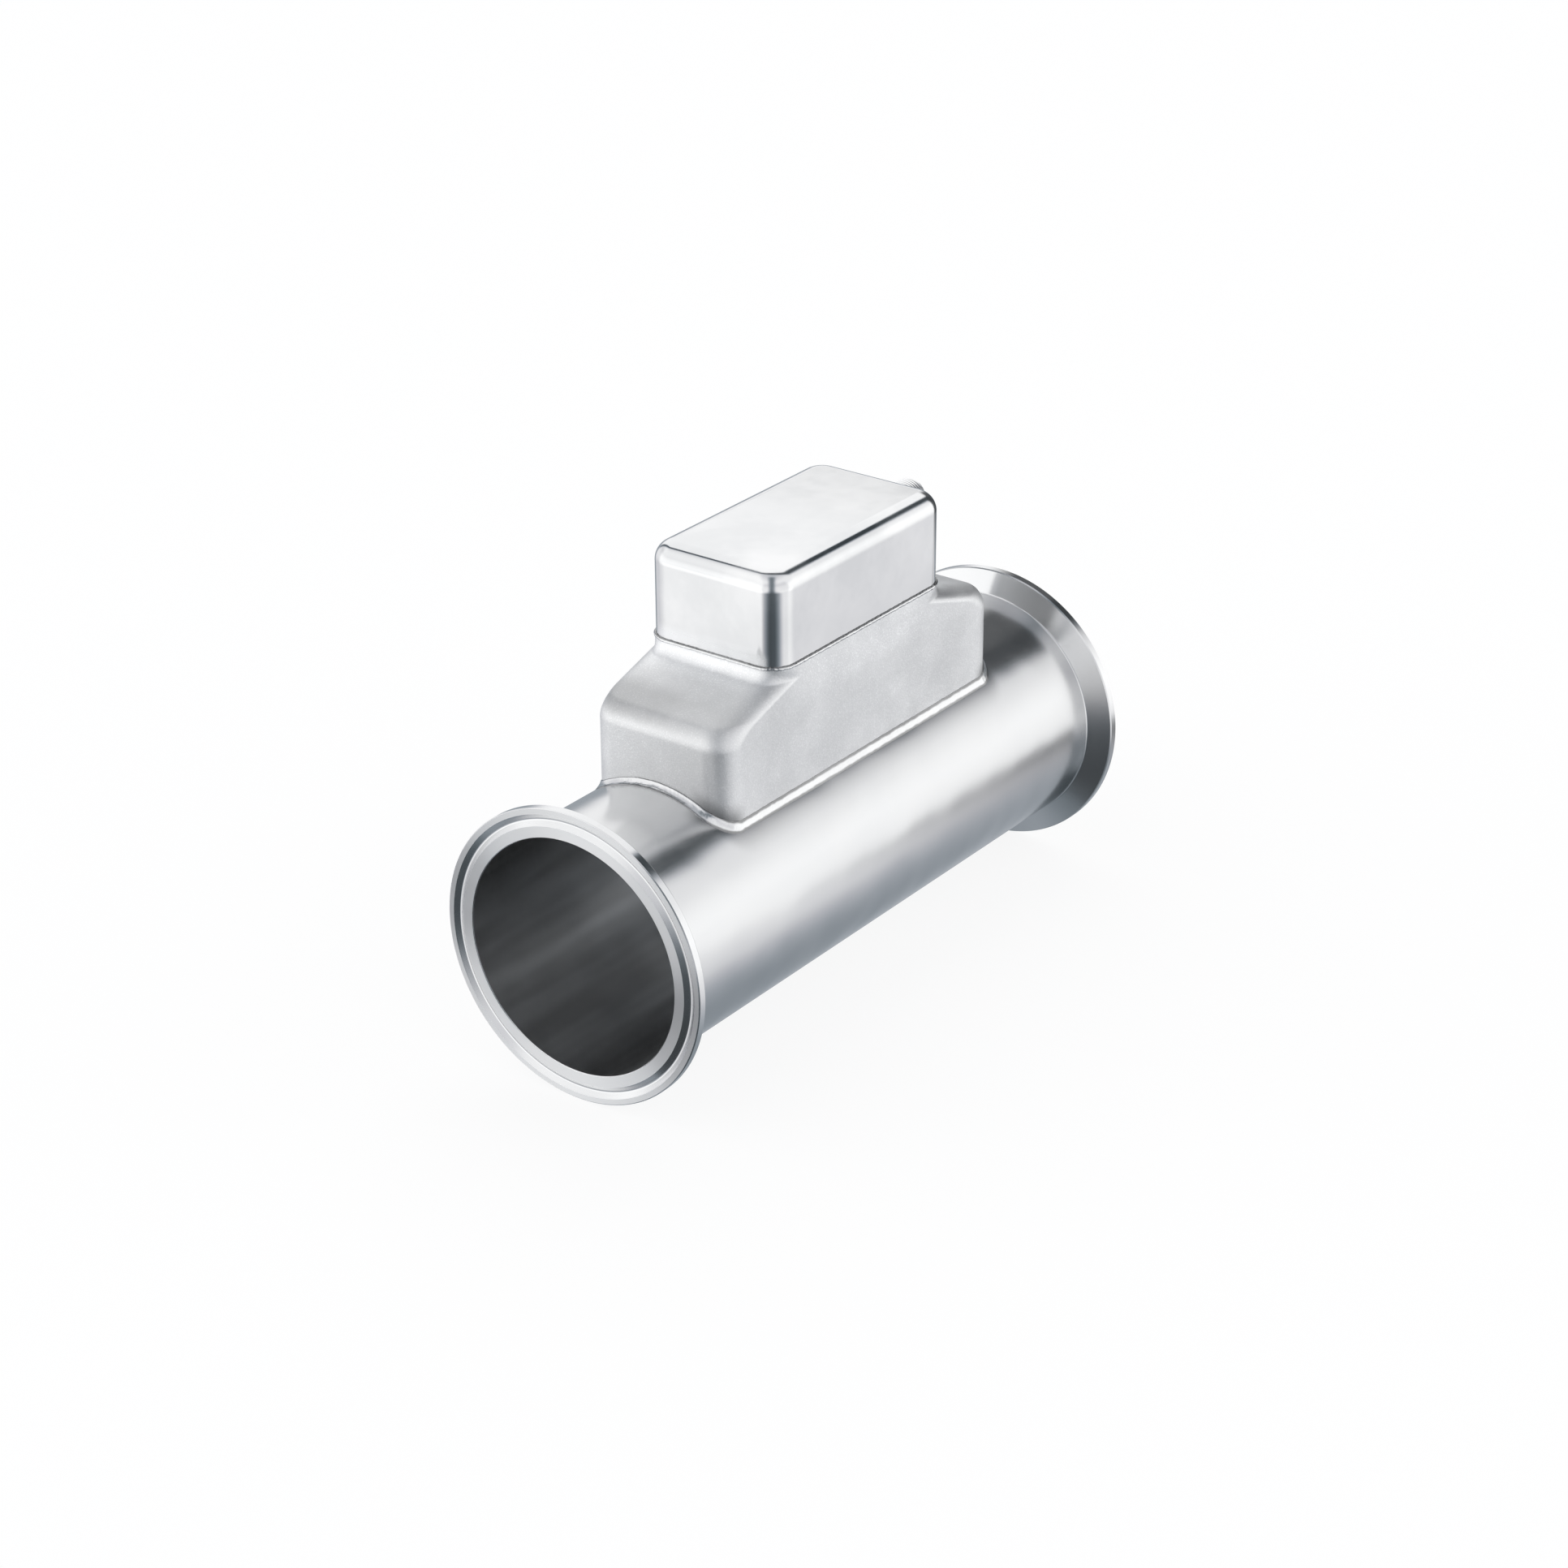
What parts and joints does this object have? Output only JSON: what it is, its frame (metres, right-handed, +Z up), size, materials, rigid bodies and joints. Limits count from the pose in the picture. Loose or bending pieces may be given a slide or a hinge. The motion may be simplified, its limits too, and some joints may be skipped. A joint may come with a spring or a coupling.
{
  "type": "ultrasonic flow sensor",
  "caption": "All-steel ultrasonic flow sensor: measuring tube with clamp ferrules, a welded saddle housing with sloped shoulders, a rounded box cap and a round threaded plug connector.",
  "frame": {"origin": "on the tube axis, half way between the two clamp faces", "axes": "+X along the flow from inlet to outlet, +Z up from the tube axis through the housing, +Y to the left when looking along the flow"},
  "size_m": [0.218, 0.091, 0.1446],
  "materials": {
    "tube_steel": "satin, drawn along the tube",
    "turned_steel": "fine turned",
    "blasted_steel": "matte bead blasted",
    "cap_steel": "smooth satin polish",
    "weld_steel": "bright as welded",
    "connector_steel": "machined",
    "carrier_steel": "plain sheet",
    "seal_rubber": "matte",
    "insert_plastic": "matte moulded",
    "holder_plastic": "matte moulded",
    "socket_plastic": "matte moulded",
    "lead_insulation": "smooth matte",
    "contact_metal": "plated",
    "standoff_brass": "machined",
    "block_aluminium": "plain machined",
    "board_laminate": "lacquered",
    "plate_ceramic": "fired ceramic",
    "core_ferrite": "matte"
  },
  "bodies": {
    "root": {"measuring_tube": "tube_steel", "inlet_ferrule": "turned_steel", "outlet_ferrule": "turned_steel", "saddle_housing": "blasted_steel", "saddle_weld": "weld_steel", "housing_cap": "cap_steel", "cap_weld": "weld_steel", "connector_shell": "connector_steel", "connector_seal": "seal_rubber", "connector_nut": "connector_steel", "connector_insert": "insert_plastic", "contact_pins": "contact_metal", "connector_leads": "lead_insulation", "temperature_block": "block_aluminium", "temperature_element": "connector_steel", "temperature_lead": "lead_insulation", "board_carrier": "carrier_steel", "lower_standoffs": "standoff_brass", "front_end_board": "board_laminate", "upper_standoffs": "standoff_brass", "main_board": "board_laminate", "board_screws": "carrier_steel", "board_link": "insert_plastic", "lead_sockets": "socket_plastic", "lead_header": "socket_plastic", "signal_chip": "insert_plastic", "processor_chip": "insert_plastic", "transformer": "core_ferrite", "capacitors": "block_aluminium", "piezo_plate_inlet_left": "plate_ceramic", "transducer_holder_inlet_left": "holder_plastic", "transducer_lead_inlet_left": "lead_insulation", "piezo_plate_inlet_right": "plate_ceramic", "transducer_holder_inlet_right": "holder_plastic", "transducer_lead_inlet_right": "lead_insulation", "piezo_plate_outlet_left": "plate_ceramic", "transducer_holder_outlet_left": "holder_plastic", "transducer_lead_outlet_left": "lead_insulation", "piezo_plate_outlet_right": "plate_ceramic", "transducer_holder_outlet_right": "holder_plastic", "transducer_lead_outlet_right": "lead_insulation"}
  },
  "joints": []
}
